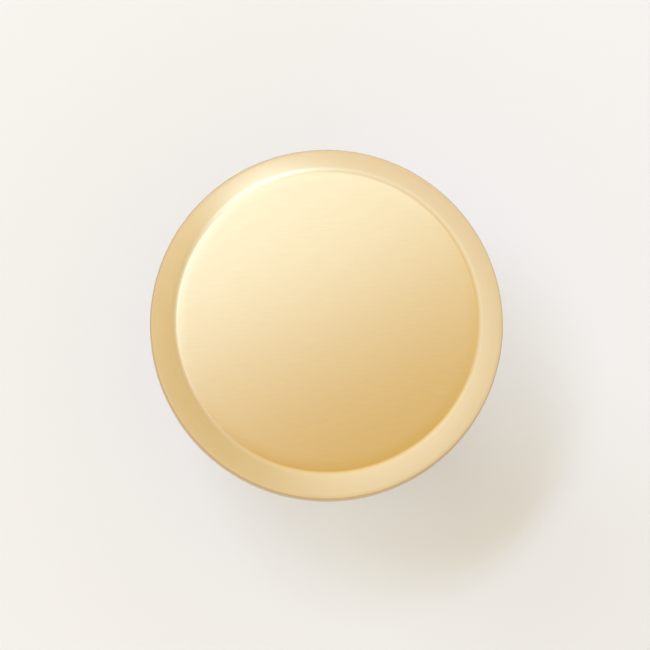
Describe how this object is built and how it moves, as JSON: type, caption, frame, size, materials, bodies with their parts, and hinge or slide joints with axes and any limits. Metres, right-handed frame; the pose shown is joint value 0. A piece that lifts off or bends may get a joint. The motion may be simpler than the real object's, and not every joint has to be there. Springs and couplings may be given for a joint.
{
  "type": "cabinet knob",
  "caption": "Round turned brass knob with a straight-brushed face and a bevelled edge, on a straight stem tapped for a screw; pulls open a drawer or door.",
  "frame": {"origin": "centre of the mounting face, which seats on the drawer front", "axes": "+Z along the knob's axis, from the mounting face out to the brushed face; the brushing on the face runs along X"},
  "size_m": [0.032, 0.032, 0.025],
  "materials": {
    "brass": "satin brushed"
  },
  "bodies": {
    "root": {"knob": "brass"}
  },
  "joints": []
}
